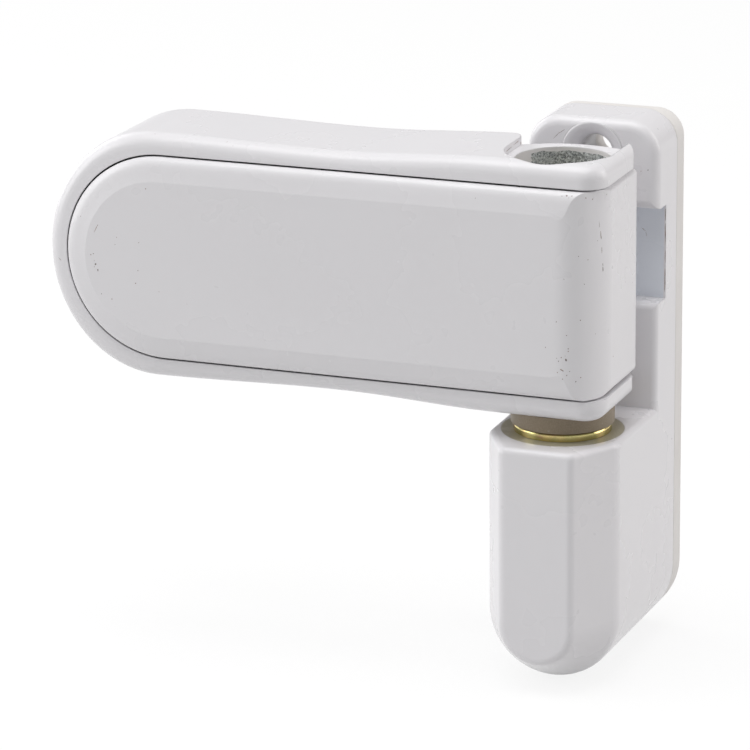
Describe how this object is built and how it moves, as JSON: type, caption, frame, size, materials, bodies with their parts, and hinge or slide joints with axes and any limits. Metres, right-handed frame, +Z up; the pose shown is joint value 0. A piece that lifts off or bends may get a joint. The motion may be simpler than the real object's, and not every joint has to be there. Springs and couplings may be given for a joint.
{
  "type": "flag hinge",
  "caption": "White flag hinge for a plastic-framed door: pin barrel with a rounded foot, swinging flag with a crowned cover, and a plate that slides under the flag.",
  "frame": {"origin": "on the packer's back face, straight behind the pin axis, at the height of the barrel's top", "axes": "+Z up along the pin, +Y into the door frame, -Y towards the viewer; the closed flag reaches towards -X"},
  "size_m": [0.1004, 0.0426, 0.0918],
  "materials": {
    "white_powder_coat": "satin",
    "packer_plastic": "satin",
    "olive_bush_plastic": "matte",
    "taupe_bush_plastic": "matte",
    "yellow_passivated_steel": "satin",
    "zinc_plated_steel": "satin"
  },
  "bodies": {
    "frame": {"frame_body": "white_powder_coat", "frame_packer": "packer_plastic", "barrel_bush": "olive_bush_plastic"},
    "lift": {"hinge_pin": "yellow_passivated_steel"},
    "height_screw": {"height_screw": "zinc_plated_steel"},
    "flag": {"flag_body": "white_powder_coat", "flag_cover": "white_powder_coat", "lower_knuckle_bush": "taupe_bush_plastic", "upper_knuckle_bush": "taupe_bush_plastic", "pin_retaining_screw": "zinc_plated_steel"},
    "door_side": {"door_plate": "zinc_plated_steel", "clamp_screws": "zinc_plated_steel", "clamp_washers": "zinc_plated_steel"},
    "side_screw": {"side_adjusting_screw": "zinc_plated_steel"}
  },
  "joints": [
    {"name": "pin_lift", "type": "slide", "parent": "frame", "child": "lift", "axis": [0, 0, 1], "range_m": [0, 0.00375]},
    {"name": "height_screw_turn", "type": "hinge", "parent": "lift", "child": "height_screw", "pos_m": [0, -0.02875, 0], "axis": [0, 0, 1], "range_deg": [0, 1080]},
    {"name": "flag_swing", "type": "hinge", "parent": "lift", "child": "flag", "pos_m": [0, -0.02875, 0], "axis": [0, 0, 1], "range_deg": [0, 180]},
    {"name": "door_slide", "type": "slide", "parent": "flag", "child": "door_side", "axis": [1, 0, 0], "range_m": [-0.003, 0.003]},
    {"name": "side_screw_turn", "type": "hinge", "parent": "flag", "child": "side_screw", "pos_m": [0, -0.02975, 0.0259], "axis": [1, 0, 0], "range_deg": [-1080, 1080]}
  ],
  "couplings": [
    {"joint": "height_screw_turn", "follows": "pin_lift", "rad_per_m": 5026.5},
    {"joint": "side_screw_turn", "follows": "door_slide", "rad_per_m": -6283.2}
  ]
}
